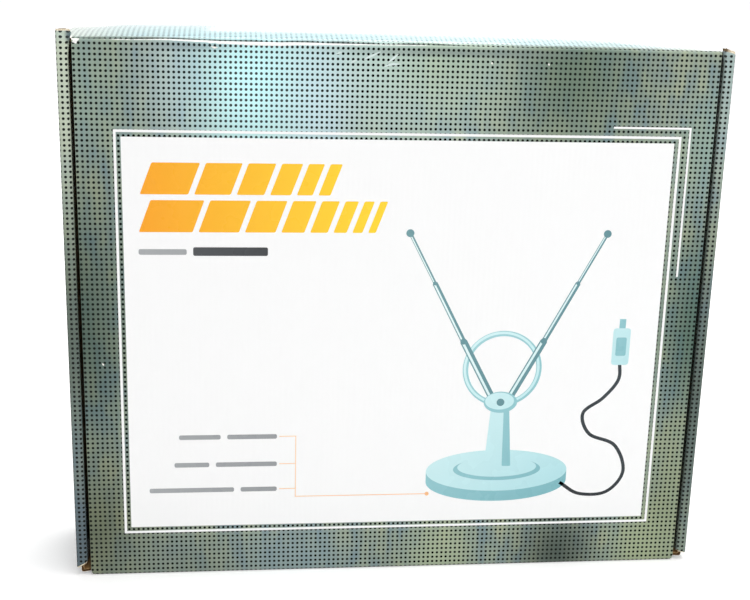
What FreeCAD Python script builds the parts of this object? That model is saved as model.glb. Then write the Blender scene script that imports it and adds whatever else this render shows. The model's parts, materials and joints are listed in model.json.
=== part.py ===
import FreeCAD, Part
import os
import Sketcher

# A roll-end mailer carton folded from one sheet of single-wall corrugated board.
# It stands on the lid's front flap: the lid faces -Y, the base panel is at +Y, and the lid's
# hinge fold runs along X at the top. Millimetres, +Z up, origin below the middle of the box.

doc = FreeCAD.newDocument("mailer_carton")

# Driving dimensions
sheet = doc.addObject("Spreadsheet::Sheet", "Sizes")
driving = [
    ("box_width", 390, "over the two rolled side walls"),
    ("box_height", 330, "from the floor to the hinge wall"),
    ("box_depth", 70, "from the lid's face to the base panel's face"),
    ("board", 2, "thickness of the corrugated board"),
    ("fold_radius", 1.6, "outside radius of a creased fold"),
    ("layer_gap", 0.3, "air between layers that lie on each other"),
    ("lid_gap", 2.1, "gap beside the lid, along each side wall"),
    ("hinge_gap", 0.4, "from the lid to the cut edges of the walls behind it"),
    ("roll_setback", 2, "from the front wall to the ends of the side walls"),
    ("flap_back_gap", 8, "from the front flap's free edge to the base panel's face"),
    ("flap_corner", 8, "corner radius of the front flap"),
    ("ear_front_gap", 3, "from the lid to the ear's root"),
    ("ear_width", 40, "root of an ear, along the flap's end"),
    ("ear_height", 34, "height of an ear over the floor"),
    ("ear_taper", 5, "an ear's side leans in by this much"),
    ("ear_corner", 9, "corner radius of an ear's tip"),
    ("ear_clearance", 0.5, "around an ear in its slot"),
    ("dust_flap_length", 78, "a dust flap's reach into a side wall"),
    ("dust_flap_taper", 5, "a dust flap's side leans in by this much"),
    ("tab_width", 42, "a locking tab, along the side wall"),
    ("tab_inset", 82, "from the end of a side wall to the middle of a tab"),
    ("tab_recess", 0.3, "from a tab's end to the base panel's face"),
    ("slot_gap", 0.4, "around a locking tab in its slot"),
]
for row, (alias, value, note) in enumerate(driving, start=1):
    sheet.set(f"A{row}", note)
    sheet.set(f"B{row}", str(value))
    sheet.setAlias(f"B{row}", alias)
doc.recompute()

# Places across the box, from outside to inside, on the +X side
half = "Sizes.box_width / 2"
outer_in = f"{half} - Sizes.board"
dust_out = f"{outer_in} - Sizes.layer_gap"
dust_in = f"{dust_out} - Sizes.board"
inner_out = f"{dust_in} - Sizes.layer_gap"
inner_in = f"{inner_out} - Sizes.board"
lid_edge = f"{inner_in} - Sizes.lid_gap"
ear_in = f"{lid_edge} - Sizes.board"

# Places from the lid to the base panel
front = "-Sizes.box_depth / 2"
lid_back = f"{front} + Sizes.board"
wall_front = f"{lid_back} + Sizes.hinge_gap"
back = "Sizes.box_depth / 2"
base_in = f"{back} - Sizes.board"
panel_end = f"{base_in} - Sizes.layer_gap"
flap_back = f"{back} - Sizes.flap_back_gap"
ear_front = f"{lid_back} + Sizes.ear_front_gap"
ear_back = f"{ear_front} + Sizes.ear_width"

# Places from the floor up
floor = "0"
flap_top = "Sizes.board"
wall_low = f"{flap_top} + Sizes.layer_gap"
wall_high = f"{wall_low} + Sizes.board"
roll_low = f"{wall_high} + Sizes.roll_setback"
top = "Sizes.box_height"
hinge_low = f"{top} - Sizes.board"
inner_high = f"{hinge_low} - Sizes.layer_gap"
axis_high = f"{top} - Sizes.board / 2"


def value(expression):
    return float(sheet.evalExpression(expression))


def origin_plane(body, role):
    return next(item for item in body.Origin.OriginFeatures if item.Role == role)


def new_sketch(body, name, role, offset):
    sketch = body.newObject("Sketcher::SketchObject", name)
    sketch.AttachmentSupport = [(origin_plane(body, role), "")]
    sketch.MapMode = "FlatFace"
    sketch.setExpression("AttachmentOffset.Base.z", offset)
    return sketch


def pin_point(sketch, geometry, point, across, up):
    # Both coordinates of a sketch point follow the sheet.
    for kind, expression in (("DistanceX", across), ("DistanceY", up)):
        index = sketch.addConstraint(
            Sketcher.Constraint(kind, -1, 1, geometry, point, value(expression)))
        sketch.setExpression(f"Constraints[{index}]", expression)


def outline(body, name, role, offset, corners):
    # A closed outline with straight sides, one pair of expressions for each corner.
    sketch = new_sketch(body, name, role, offset)
    points = [FreeCAD.Vector(value(across), value(up), 0) for across, up in corners]
    count = len(points)
    for side in range(count):
        sketch.addGeometry(Part.LineSegment(points[side], points[(side + 1) % count]))
    for side in range(count):
        sketch.addConstraint(Sketcher.Constraint("Coincident", side, 2, (side + 1) % count, 1))
    for side, (across, up) in enumerate(corners):
        pin_point(sketch, side, 1, across, up)
    return sketch


def rectangle(low, high):
    return [low, (high[0], low[1]), high, (low[0], high[1])]


def pad(body, name, sketch, length):
    feature = body.newObject("PartDesign::Pad", name)
    feature.Profile = sketch
    feature.setExpression("Length", length)
    return feature


def pocket(body, name, sketch, depth, turned=False):
    feature = body.newObject("PartDesign::Pocket", name)
    feature.Profile = sketch
    feature.Reversed = turned
    feature.setExpression("Length", depth)
    return feature


def mirror_sides(body, name, features):
    # The -X side repeats the +X side.
    feature = body.newObject("PartDesign::Mirrored", name)
    feature.Originals = features
    feature.MirrorPlane = (origin_plane(body, "YZ_Plane"), [""])
    body.Tip = feature
    return feature


def edges_at(shape, along, *places):
    # Names of the straight edges along an axis that lie at one of the given pairs of places.
    names = []
    across = [axis for axis in "xyz" if axis != along]
    for index, edge in enumerate(shape.Edges, start=1):
        start, end = edge.Vertexes[0].Point, edge.Vertexes[-1].Point
        fixed = [(getattr(start, axis), getattr(end, axis)) for axis in across]
        if any(abs(one - other) > 1e-4 for one, other in fixed):
            continue
        for place in places:
            if all(abs(pair[0] - value(spot)) < 1e-3 for pair, spot in zip(fixed, place)):
                names.append(f"Edge{index}")
    return names


def round_edges(body, name, base, edges, radius):
    feature = body.newObject("PartDesign::Fillet", name)
    feature.Base = (base, edges)
    feature.setExpression("Radius", radius)
    doc.recompute()
    return feature


def both_sides(place, other):
    return [(place, other), (f"-({place})", other)]


# Tray: base panel, front wall, hinge wall, and the rolled side walls with what they hold
tray = doc.addObject("PartDesign::Body", "Tray")
tray.Label = "tray"

# Front wall, base panel and hinge wall in one section
walls_sketch = outline(tray, "walls_outline", "YZ_Plane", f"-({dust_out})", [
    (wall_front, wall_low), (back, wall_low), (back, top), (wall_front, top),
    (wall_front, hinge_low), (base_in, hinge_low), (base_in, wall_high), (wall_front, wall_high)])
walls = pad(tray, "walls", walls_sketch, f"2 * ({dust_out})")

# Outer side panel, folded up from the base and over the roll's crest
roll_sketch = outline(tray, "roll_outline", "XY_Plane", roll_low, [
    (dust_in, base_in), (outer_in, base_in), (outer_in, lid_back), (inner_in, lid_back),
    (inner_in, front), (half, front), (half, back), (dust_in, back)])
roll = pad(tray, "roll", roll_sketch, f"{top} - ({roll_low})")

# Inner side panel, which ends below the hinge wall
inner_sketch = outline(tray, "inner_outline", "XY_Plane", roll_low,
                       rectangle((inner_in, front), (inner_out, panel_end)))
inner = pad(tray, "inner_panel", inner_sketch, f"{inner_high} - ({roll_low})")

# Dust flaps, folded from the ends of the two walls into the side wall's hollow
side_features = [roll, inner]
flap_lean = "Sizes.dust_flap_taper"
for name, root, reach in (("lower", wall_low, "Sizes.dust_flap_length"),
                          ("upper", top, "-Sizes.dust_flap_length")):
    tip = f"{root} + {reach}"
    flap_sketch = outline(tray, f"{name}_dust_flap_outline", "YZ_Plane", dust_in, [
        (wall_front, root), (panel_end, root),
        (f"{panel_end} - {flap_lean}", tip), (f"{wall_front} + {flap_lean}", tip)])
    side_features.append(pad(tray, f"{name}_dust_flap", flap_sketch, "Sizes.board"))

# Locking tabs of the inner panel, each in a slot of the base panel
for name, middle in (("lower", f"{roll_low} + Sizes.tab_inset"), ("upper", f"{top} - Sizes.tab_inset")):
    tab_low = f"{middle} - Sizes.tab_width / 2"
    tab_high = f"{middle} + Sizes.tab_width / 2"
    slot_sketch = outline(tray, f"{name}_slot_outline", "XZ_Plane", f"-({back})", rectangle(
        (f"{inner_in} - Sizes.slot_gap", f"{tab_low} - Sizes.slot_gap"),
        (f"{inner_out} + Sizes.slot_gap", f"{tab_high} + Sizes.slot_gap")))
    side_features.append(pocket(tray, f"{name}_slot", slot_sketch, "Sizes.board", turned=True))
    tab_sketch = outline(tray, f"{name}_tab_outline", "YZ_Plane", inner_in, rectangle(
        (f"{panel_end} - Sizes.board", tab_low), (f"{back} - Sizes.tab_recess", tab_high)))
    side_features.append(pad(tray, f"{name}_tab", tab_sketch, "Sizes.board"))

# Slot in the front wall for an ear, open towards the lid
ear_slot_sketch = outline(tray, "ear_slot_outline", "XY_Plane", wall_high, rectangle(
    (f"{ear_in} - Sizes.ear_clearance", lid_back),
    (f"{lid_edge} + Sizes.ear_clearance", f"{ear_back} + Sizes.ear_clearance")))
side_features.append(pocket(tray, "ear_slot", ear_slot_sketch, "Sizes.board"))

tray_sides = mirror_sides(tray, "tray_sides", side_features)
doc.recompute()

# Outside of the creased folds
long_folds = edges_at(tray_sides.Shape, "z", *both_sides(half, back), *both_sides(half, front),
                      *both_sides(inner_in, front))
long_folds += edges_at(tray_sides.Shape, "x", (back, wall_low), (back, top))
tray_folds = round_edges(tray, "tray_folds", tray_sides, long_folds, "Sizes.fold_radius")
flap_folds = edges_at(tray_folds.Shape, "y", *both_sides(dust_out, wall_low), *both_sides(dust_out, top))
round_edges(tray, "dust_flap_folds", tray_folds, flap_folds, "Sizes.fold_radius")

# Lid: panel, front flap under the box, and ears that stand in the front wall's slots
lid = doc.addObject("PartDesign::Body", "Lid")
lid.Label = "lid"

panel_sketch = outline(lid, "panel_outline", "YZ_Plane", f"-({lid_edge})",
                       rectangle((front, floor), (lid_back, axis_high)))
pad(lid, "lid_panel", panel_sketch, f"2 * ({lid_edge})")

flap_sketch = outline(lid, "flap_outline", "XY_Plane", floor,
                      rectangle((f"-({ear_in})", front), (ear_in, flap_back)))
pad(lid, "front_flap", flap_sketch, flap_top)

# The lid's edge at the hinge is round about the hinge axis
nose_sketch = new_sketch(lid, "nose_outline", "YZ_Plane", f"-({lid_edge})")
nose_middle = f"{front} + Sizes.board / 2"
nose_place = FreeCAD.Vector(value(nose_middle), value(axis_high), 0)
nose_circle = Part.Circle(nose_place, FreeCAD.Vector(0, 0, 1), value("Sizes.board / 2"))
nose_sketch.addGeometry(nose_circle)
pin_point(nose_sketch, 0, 3, nose_middle, axis_high)
nose_size = nose_sketch.addConstraint(Sketcher.Constraint("Radius", 0, value("Sizes.board / 2")))
nose_sketch.setExpression(f"Constraints[{nose_size}]", "Sizes.board / 2")
pad(lid, "hinge_nose", nose_sketch, f"2 * ({lid_edge})")

ear_sketch = outline(lid, "ear_outline", "YZ_Plane", ear_in, [
    (ear_front, floor), (ear_back, floor), (f"{ear_back} - Sizes.ear_taper", "Sizes.ear_height"),
    (f"{ear_front} + Sizes.ear_taper", "Sizes.ear_height")])
ear = pad(lid, "ear", ear_sketch, "Sizes.board")
lid_sides = mirror_sides(lid, "lid_sides", [ear])
doc.recompute()

flap_corners = edges_at(lid_sides.Shape, "z", *both_sides(ear_in, flap_back))
flap_round = round_edges(lid, "flap_corners", lid_sides, flap_corners, "Sizes.flap_corner")
ear_tips = edges_at(flap_round.Shape, "x", (f"{ear_back} - Sizes.ear_taper", "Sizes.ear_height"),
                    (f"{ear_front} + Sizes.ear_taper", "Sizes.ear_height"))
ear_round = round_edges(lid, "ear_corners", flap_round, ear_tips, "Sizes.ear_corner")
lid_folds = edges_at(ear_round.Shape, "x", (front, floor))
lid_folds += edges_at(ear_round.Shape, "y", *both_sides(lid_edge, floor))
round_edges(lid, "lid_folds", ear_round, lid_folds, "Sizes.fold_radius")
doc.recompute()

# Every feature is sound, and each piece is one solid, before anything is written
for item in doc.Objects:
    if "Invalid" in item.State or "Error" in item.State:
        raise RuntimeError(f"{item.Name} failed")
os.makedirs("parts", exist_ok=True)
for body in (tray, lid):
    if body.Shape.isNull() or not body.Shape.isValid() or len(body.Shape.Solids) != 1:
        raise RuntimeError(f"{body.Label} isn't one sound solid")
for body in (tray, lid):
    body.Shape.exportStep(f"parts/{body.Label}.step")
    print(body.Label, round(body.Shape.Volume / 1000, 2), "cm3", body.Shape.BoundBox)
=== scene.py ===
import json
import math
from functools import partial

import bmesh
import bpy
from mathutils import Matrix, Vector, noise
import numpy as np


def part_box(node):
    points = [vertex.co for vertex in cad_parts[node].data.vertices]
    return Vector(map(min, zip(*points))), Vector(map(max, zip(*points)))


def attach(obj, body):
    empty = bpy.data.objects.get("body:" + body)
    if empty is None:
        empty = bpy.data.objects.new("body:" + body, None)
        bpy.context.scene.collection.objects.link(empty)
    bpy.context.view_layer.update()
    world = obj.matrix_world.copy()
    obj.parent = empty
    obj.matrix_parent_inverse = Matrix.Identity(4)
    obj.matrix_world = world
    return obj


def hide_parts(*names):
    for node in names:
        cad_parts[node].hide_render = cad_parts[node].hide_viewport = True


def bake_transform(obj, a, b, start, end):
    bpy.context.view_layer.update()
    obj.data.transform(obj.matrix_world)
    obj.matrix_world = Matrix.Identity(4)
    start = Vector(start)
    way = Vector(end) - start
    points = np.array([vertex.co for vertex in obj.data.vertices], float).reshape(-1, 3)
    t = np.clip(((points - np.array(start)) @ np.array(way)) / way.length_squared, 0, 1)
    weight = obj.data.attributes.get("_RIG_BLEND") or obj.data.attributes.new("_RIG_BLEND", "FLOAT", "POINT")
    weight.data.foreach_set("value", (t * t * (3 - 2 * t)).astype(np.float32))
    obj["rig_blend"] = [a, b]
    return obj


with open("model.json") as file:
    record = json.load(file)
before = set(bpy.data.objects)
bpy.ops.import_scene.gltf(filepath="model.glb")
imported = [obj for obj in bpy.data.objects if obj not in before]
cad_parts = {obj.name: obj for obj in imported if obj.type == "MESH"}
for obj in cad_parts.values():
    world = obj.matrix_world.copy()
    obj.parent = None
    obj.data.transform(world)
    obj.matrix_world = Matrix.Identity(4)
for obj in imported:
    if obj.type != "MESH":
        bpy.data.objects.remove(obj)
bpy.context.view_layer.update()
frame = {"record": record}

scene = bpy.context.scene
scene.view_settings.view_transform = "Standard"
mm = 0.001
hair = 0.01     # in millimetres, tells one place from the next
slack = 0.1     # and one surface from the next

# the folded sheet: everything below is worked out in millimetres and made metres in meshObject
board = {
    "thickness": 2.0,     # two liners with small flutes between them
    "liner": 0.3,         # printed liner outside, plain one inside
    "foldRadius": 1.6,
    "tightRadius": 0.15,  # inside of a crease
    "layerGap": 0.3,
    "hingeGap": 0.4,
    "rollSetback": 2.0,
    "panelStart": 0.4,    # past the fold, where a side panel takes over from the base or a wall
    "grooveDepth": 1.3,   # the fluted middle lies this far back at a cut edge
    "grooveRims": (0.12, 0.3),   # board beside that groove, towards the print and towards the inside
    "rowStep": 7.0,
    "columnStep": 7.0,
    "shortStep": 2.0,     # between the rows of a short run
    "creaseReach": 2.5,   # rubbed band beside a fold
    "arcSteps": 5,
    "foldWear": 0.62,
    "flutePitch": 3.2,
}

trayLow, trayHigh = [Vector(corner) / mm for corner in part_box("tray")]
lidLow, lidHigh = [Vector(corner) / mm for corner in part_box("lid")]
hingeAxis = Vector(frame["record"]["behaviour"]["joints"][0]["pos_m"]) / mm

thick, gap, liner = board["thickness"], board["layerGap"], board["liner"]
half, back, top, wallLow = trayHigh.x, trayHigh.y, trayHigh.z, trayLow.z
front, lidEdge, flapBack = lidLow.y, lidHigh.x, lidHigh.y
dustOut = half - thick - gap
innerOut = dustOut - thick - gap
innerIn = innerOut - thick
earIn = lidEdge - thick
wallFront = front + thick + board["hingeGap"]
panelEnd = back - thick - gap
rollLow = wallLow + thick + board["rollSetback"]
innerHigh = top - thick - gap
joinInset = board["foldRadius"] + board["panelStart"]


def hexToLinear(code):
    channels = [int(code[i:i + 2], 16) / 255 for i in (1, 3, 5)]
    return [c / 12.92 if c <= 0.04045 else ((c + 0.055) / 1.055) ** 2.4 for c in channels] + [1.0]


# settings in plain text are the node's operation; a link comes from a socket or a node's first output in use
def addNode(tree, kind, settings=None, links=None):
    node = tree.nodes.new(kind if kind.startswith(("Geometry", "NodeGroup")) else "ShaderNode" + kind)
    if isinstance(settings, str):
        settings = {"operation": settings}
    for key, setting in (settings or {}).items():
        setattr(node, key, setting)
    for key, source in (links or {}).items():
        if isinstance(source, bpy.types.Node):
            source = next(output for output in source.outputs if output.enabled)
        if isinstance(source, bpy.types.NodeSocket):
            tree.links.new(source, node.inputs[key])
        else:
            node.inputs[key].default_value = source
    return node


def newMaterial(name):
    material = bpy.data.materials.new(name)
    material.use_nodes = True
    material.node_tree.nodes.clear()
    add = partial(addNode, material.node_tree)
    coords = add("TexCoord").outputs
    place = add("VectorMath", "SCALE", {0: coords["Object"], "Scale": 1 / mm})
    return material, add, coords, place


def fillRamp(ramp, stops):
    elements = ramp.color_ramp.elements
    while len(elements) < len(stops):
        elements.new(1.0)
    for element, (position, code) in zip(elements, stops):
        element.position = position
        element.color = hexToLinear(code)


softEdge, inColour = {"interpolation_type": "SMOOTHSTEP"}, {"data_type": "RGBA"}
lowNoise, highNoise = 0.3, 0.7      # most values of a noise texture lie between these

printing = {
    "dotPitch": (2.875, 3.029),
    "firstDot": (-185.4, 327.7),        # the dot nearest the lid's upper left corner
    "dotRadius": 0.81,
    "dotEdge": 0.10,
    "dotColour": "#050c08",
    "patch": (8.0, 8.0, 21.0),          # soft upright patches of the ground
    "groundStops": [(0.30, "#7e9398"), (0.44, "#8d9c94"), (0.56, "#97a494"), (0.72, "#a5ad94")],
    "white": "#fafafa",
    "paper": "#f6f5f2",
    "paperRoughness": 0.8,
    # painted shade in the creased line behind the hinge fold
    "crease": "#3c4543",
    "lidFilm": (0.07, 0.22, 0.34),      # shine, roughness where it is smooth, roughness where it is dull
    "trayFilm": (0.12, 0.10, 0.20),
    "inkFilm": (0.3, 0.22, 0.34),
    "inkCloud": 14.0,                   # size of an ink's smooth and dull places
    "speck": 2.2222,                    # size of a rubbed speck
    "bareFrom": (0.42, 0.62),           # wear at which paper begins to show, and at which no ink is left
    "ripple": 45.0,                     # length of the sheet's slow waves
    "washboard": 0.02,                  # height of the flutes in the print, as a share of those waves
    "relief": 0.6,                      # height of those waves
}

# soft fields of colour, mostly the printed ground and a few of painted shade: x, z, reach across, reach up,
# colour, strength; some also have a depth and its reach, as the hinge wall's have where the lid's print takes
# them up behind the fold
creaseDepth = (front + 9, 8)
hingeFields = [
    (0, 332, 210, 11, "#c8ebf2", 0.97),
    (-70, 332, 160, 11, "#a9d0d8", 0.95),
]
lidFields = [
    (-190, 165, 62, 150, "#4a5d54", 0.92),
    (-186, 300, 60, 62, "#8fa396", 0.65),
    (-182, 30, 56, 80, "#60664d", 0.8),
    (190, 160, 45, 105, "#4f6a60", 0.95),
    (186, 275, 30, 60, "#93aba0", 0.75),
    (180, 40, 40, 90, "#929c7b", 0.8),
    (97, 316, 73, 70, "#6a7d6c", 0.9),
    (-20, 315, 120, 80, "#c4dad4", 0.85),
    (24, 320, 50, 44, "#aebfa2", 0.6),
    (-88, 308, 62, 74, "#cffcff", 1.0),
    (-50, 297, 34, 66, "#cfe6f2", 0.55),
    (-132, 312, 34, 60, "#bccfd6", 0.5),
    # painted shade: two thin darker bands just under the fold's ridge along the lid's top edge
    (-125, 327, 40, 4, "#87959b", 0.6),
    (30, 326.5, 100, 4.5, "#84918e", 0.7),
    (-132, 8, 60, 45, "#7d8a82", 0.7),
    (-58, 8, 60, 40, "#8fa2a4", 0.8),
    (31, 8, 36, 40, "#adb99a", 0.85),
    (108, 8, 42, 50, "#566159", 0.98),
    (162, 8, 36, 40, "#a4b08f", 0.85),
] + [field + creaseDepth for field in hingeFields]
# the tray has three broad ones on the base panel, then the rolled sides, paler at the top and darker towards
# the bottom, then painted shade on the crests' inner edges beside the lid, of which the left one is laid
# twice
trayFields = [
    (-70, 250, 125, 110, "#aabdb6", 0.8),
    (75, 150, 120, 150, "#66776c", 0.8),
    (-60, 45, 120, 90, "#8d9a84", 0.75),
    (-195, 330, 60, 160, "#c6d0bc", 0.95),
    (-195, 155, 60, 130, "#5d6960", 0.95),
    (-195, 20, 60, 110, "#59666e", 0.95),
    (195, 330, 60, 130, "#a4b6b3", 0.9),
    (195, 110, 60, 190, "#56635d", 0.95),
    # painted shade: dark along the right crest's inner edge, and over the top of the left crest's inner side
    (187.4, 165, 2.6, 420, "#222a28", 0.85, front, 6),
] + 2 * [(-186.6, 332, 4.0, 8, "#0e120b", 1.0, front, 4)] + hingeFields
# painted glare: a pale wash over the print and its dots on the hinge wall towards its back, where light
# glances off the top face, and more thinly on the lid's print behind the fold; a thin pale wash also over the
# lid's palest field
trayPaintedGlare = [(40, 334, 420, 12, "#dbf5f8", 0.8, back, 110)]
lidPaleWashAndGlare = [(-86, 306, 62, 80, "#d8feff", 0.06), (40, 334, 420, 12, "#dbf5f8", 0.33) + creaseDepth]
# the lid's white panel, its frame line and the short corner line: lowest and highest x and z
panelArt = {
    "panel": (-161.1, 162.4, 32.2, 275.6),
    "lineOut": 4.1,
    "lineWidth": 1.5,
    "cornerLines": [(124.7, 172.2, 284.0, 285.2), (171.0, 172.2, 193.0, 285.2)],
}


# how far a place lies outside a box, below zero inside it
def boxReach(add, place, box):
    lowX, highX, lowZ, highZ = box
    centre = ((lowX + highX) / 2, 0, (lowZ + highZ) / 2)
    size = ((highX - lowX) / 2, 0, (highZ - lowZ) / 2)
    offset = add("VectorMath", "SUBTRACT", {0: place, 1: centre})
    folded = add("VectorMath", "ABSOLUTE", {0: offset})
    beyond = add("VectorMath", "SUBTRACT", {0: folded, 1: size})
    parts = add("SeparateXYZ", None, {0: beyond}).outputs
    return add("Math", "MAXIMUM", {0: parts[0], 1: parts[2]})


def layFields(add, place, colour, fields):
    for x, z, reachX, reachZ, code, strength, *depth in fields:
        y, perY = (depth[0], 1 / depth[1]) if depth else (0, 0)
        offset = add("VectorMath", "SUBTRACT", {0: place, 1: (x, y, z)})
        scaled = add("VectorMath", "MULTIPLY", {0: offset, 1: (1 / reachX, perY, 1 / reachZ)})
        far = add("VectorMath", "LENGTH", {0: scaled})
        weight = add("MapRange", softEdge, {0: far, 1: 0.0, 2: 1.0, 3: strength, 4: 0.0})
        colour = add("Mix", inColour, {0: weight, 6: colour, 7: hexToLinear(code)})
    return colour


# coated paper, offset printed and film laminated over flutes: even colour, a soft gloss, a faint washboard
def laminatedPrint(name, fields, film, paleWashAndGlare, art=None):
    material, add, coords, place = newMaterial(name)
    stretched = add("VectorMath", "DIVIDE", {0: place, 1: printing["patch"]})
    mottle = add("TexNoise", None, {"Vector": stretched, "Scale": 1.0, "Detail": 2.0, "Roughness": 0.55})
    ramp = add("ValToRGB", None, {0: mottle})
    fillRamp(ramp, printing["groundStops"])
    colour = layFields(add, place, ramp, fields)

    pitchX, pitchZ = printing["dotPitch"]
    radius, edge = printing["dotRadius"], printing["dotEdge"]
    perPitch = (1 / mm / pitchX, 1 / mm / pitchZ, 0)
    cells = add("VectorMath", "MULTIPLY_ADD", {0: coords["UV"], 1: perPitch, 2: (0.5, 0.5, 0)})
    inCell = add("VectorMath", "FRACTION", {0: cells})
    toMiddle = {0: inCell, 1: (pitchX, pitchZ, 0), 2: (-pitchX / 2, -pitchZ / 2, 0)}
    fromDot = add("VectorMath", "LENGTH", {0: add("VectorMath", "MULTIPLY_ADD", toMiddle)})
    dots = add("MapRange", softEdge, {0: fromDot, 1: radius - edge, 2: radius + edge, 3: 1.0, 4: 0.0})
    colour = add("Mix", inColour, {0: dots, 6: colour, 7: hexToLinear(printing["dotColour"])})
    # painted glare: a pale wash laid over the print and its dots where given
    colour = layFields(add, place, colour, paleWashAndGlare)

    if art:
        reach = boxReach(add, place, art["panel"])
        line = art["lineWidth"] / 2
        masks = [add("Math", "LESS_THAN", {0: reach, 1: 0.0}),
                 add("Math", "COMPARE", {0: reach, 1: art["lineOut"] - line, 2: line})]
        for box in art["cornerLines"]:
            masks.append(add("Math", "LESS_THAN", {0: boxReach(add, place, box), 1: 0.0}))
        for mask in masks:
            colour = add("Mix", inColour, {0: mask, 6: colour, 7: hexToLinear(printing["white"])})

    # rubbed folds: the paper shows where the film and the ink have gone, and painted shade darkens the
    # creased line
    rubbed = add("Attribute", {"attribute_name": "wear"}).outputs["Fac"]
    specks = {"Vector": place, "Scale": 1 / printing["speck"], "Detail": 3.0, "Roughness": 0.65}
    uneven = add("Math", "MULTIPLY", {0: rubbed, 1: add("TexNoise", None, specks)})
    begun, full = printing["bareFrom"]
    bare = add("MapRange", softEdge, {0: uneven, 1: begun, 2: full, 3: 0.0, 4: 1.0})
    colour = add("Mix", inColour, {0: bare, 6: colour, 7: hexToLinear(printing["paper"])})
    # painted shade: the creased line's weight mixes in the dark crease colour
    creaseShadeWeight = add("Attribute", {"attribute_name": "creaseLine"}).outputs["Fac"]
    colour = add("Mix", inColour, {0: creaseShadeWeight, 6: colour, 7: hexToLinear(printing["crease"])})

    shine, smooth, dull = film
    sheen = add("MapRange", None, {0: mottle, 1: lowNoise, 2: highNoise, 3: smooth, 4: dull})
    rough = add("Mix", None, {0: bare, 2: sheen, 3: printing["paperRoughness"]})
    across = add("SeparateXYZ", None, {0: coords["UV"]})
    turns = add("Math", "MULTIPLY", {0: across, 1: 2 * math.pi / (board["flutePitch"] * mm)})
    flutes = add("Math", "SINE", {0: turns})
    ripple = add("TexNoise", None, {"Vector": place, "Scale": 1 / printing["ripple"], "Detail": 2.0})
    height = add("Math", "MULTIPLY_ADD", {0: flutes, 1: printing["washboard"], 2: ripple})
    bump = add("Bump", None, {"Strength": 0.5, "Distance": printing["relief"] * mm, "Height": height})
    shader = add("BsdfPrincipled", None, {"Base Color": colour, "Roughness": rough, "Normal": bump,
                                          "Specular IOR Level": shine})
    add("OutputMaterial", None, {"Surface": shader})
    return material


plainPaper = {
    "fleck": 1.4286,            # size of a dark fleck
    "fleckFrom": (0.66, 0.72),
    "fleckStrength": 0.6,
    "roughness": (0.95, 0.8),   # between the fibres and on them
    "shine": 0.25,
    "relief": 0.2,
    "wool": 0.71429,            # size of a tuft where it is torn
    "woolPale": 0.6,
    "woolRoughness": 0.9,
}


# recycled brown paper: long soft fibres, a few dark flecks and no shine
def brownPaper(name, light, dark, fleck, fibre):
    material, add, coords, place = newMaterial(name)
    stretched = add("VectorMath", "DIVIDE", {0: place, 1: fibre})
    fibres = add("TexNoise", None, {"Vector": stretched, "Scale": 1.0, "Detail": 4.0, "Roughness": 0.6})
    ramp = add("ValToRGB", None, {0: fibres})
    fillRamp(ramp, [(lowNoise, dark), (highNoise, light)])
    specks = add("TexNoise", None, {"Vector": place, "Scale": 1 / plainPaper["fleck"], "Detail": 2.0})
    begun, full = plainPaper["fleckFrom"]
    few = add("MapRange", None, {0: specks, 1: begun, 2: full, 3: 0.0, 4: plainPaper["fleckStrength"]})
    colour = add("Mix", inColour, {0: few, 6: ramp, 7: hexToLinear(fleck)})
    between, onFibre = plainPaper["roughness"]
    rough = add("MapRange", None, {0: fibres, 1: lowNoise, 2: highNoise, 3: between, 4: onFibre})
    bump = add("Bump", None, {"Strength": 0.5, "Distance": plainPaper["relief"] * mm, "Height": fibres})
    shader = add("BsdfPrincipled", None, {"Base Color": colour, "Roughness": rough, "Normal": bump,
                                          "Specular IOR Level": plainPaper["shine"]})
    add("OutputMaterial", None, {"Surface": shader})
    return material


# printing ink under the same film as the ground: two tones that run into each other between two places
def filmedInk(name, fromTone, toTone, start, end):
    material, add, coords, place = newMaterial(name)
    start, end = (Vector((x, front, z)) for x, z in (start, end))
    path = end - start
    offset = add("VectorMath", "SUBTRACT", {0: place, 1: start})
    along = add("VectorMath", "DOT_PRODUCT", {0: offset, 1: path / path.length_squared})
    colour = add("Mix", inColour, {0: along, 6: hexToLinear(fromTone), 7: hexToLinear(toTone)})
    cloud = add("TexNoise", None, {"Vector": place, "Scale": 1 / printing["inkCloud"], "Detail": 2.0})
    shine, smooth, dull = printing["inkFilm"]
    rough = add("MapRange", None, {0: cloud, 1: lowNoise, 2: highNoise, 3: smooth, 4: dull})
    shader = add("BsdfPrincipled", None, {"Base Color": colour, "Roughness": rough,
                                          "Specular IOR Level": shine})
    add("OutputMaterial", None, {"Surface": shader})
    return material


# torn paper: pale, matt and a little woolly, with a brown spot where the next ply shows
def tornPaper(name, light, dark, spot=None):
    material, add, coords, place = newMaterial(name)
    tufts = {"Vector": place, "Scale": 1 / plainPaper["wool"], "Detail": 4.0, "Roughness": 0.7}
    wool = add("TexNoise", None, tufts)
    colour = add("ValToRGB", None, {0: wool})
    fillRamp(colour, [(lowNoise, dark), (plainPaper["woolPale"], light)])
    if spot:
        full, end = spot["reach"]
        far = add("VectorMath", "DISTANCE", {0: place, 1: spot["centre"]})
        weight = add("MapRange", softEdge, {0: far, 1: full, 2: end, 3: 1.0, 4: 0.0})
        colour = add("Mix", inColour, {0: weight, 6: colour, 7: hexToLinear(spot["colour"])})
    bump = add("Bump", None, {"Strength": 0.6, "Distance": plainPaper["relief"] * mm, "Height": wool})
    shader = add("BsdfPrincipled", None, {"Base Color": colour, "Roughness": plainPaper["woolRoughness"],
                                          "Normal": bump})
    add("OutputMaterial", None, {"Surface": shader})
    return material


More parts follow.
